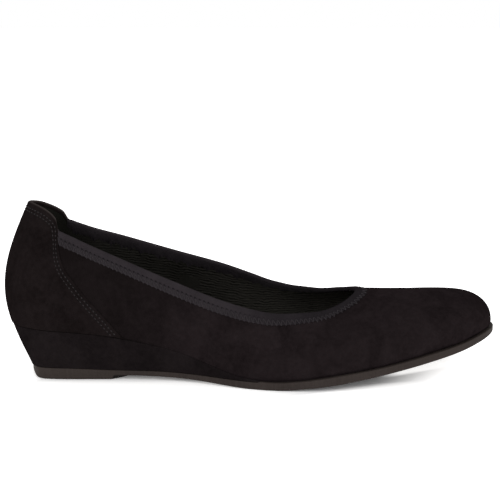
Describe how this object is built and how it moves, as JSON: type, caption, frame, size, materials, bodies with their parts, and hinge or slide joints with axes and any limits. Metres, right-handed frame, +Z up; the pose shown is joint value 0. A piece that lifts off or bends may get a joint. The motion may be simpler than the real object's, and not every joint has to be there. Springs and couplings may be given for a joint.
{
  "type": "wedge shoe",
  "caption": "Right-foot slip-on pump in black suede with an elastic collar binding, a heel counter, a covered low wedge heel and a thin moulded outsole.",
  "frame": {"origin": "on the floor, under the middle of the shoe's box", "axes": "+X to the toe, +Y to the inner side of the foot, +Z up"},
  "size_m": [0.253, 0.0874, 0.087],
  "materials": {
    "sole_rubber": "matte dark grey-brown",
    "wedge_suede": "black suede with a soft nap",
    "sock_leather": "smooth black sock",
    "upper_suede": "black suede with a soft nap",
    "counter_suede": "black suede with stitched edges",
    "elastic_tape": "dark grey stretch tape"
  },
  "bodies": {
    "root": {"outsole": "sole_rubber", "wedge": "wedge_suede", "insole": "sock_leather", "upper": "upper_suede", "heel_counter": "counter_suede", "collar_binding": "elastic_tape"}
  },
  "joints": []
}
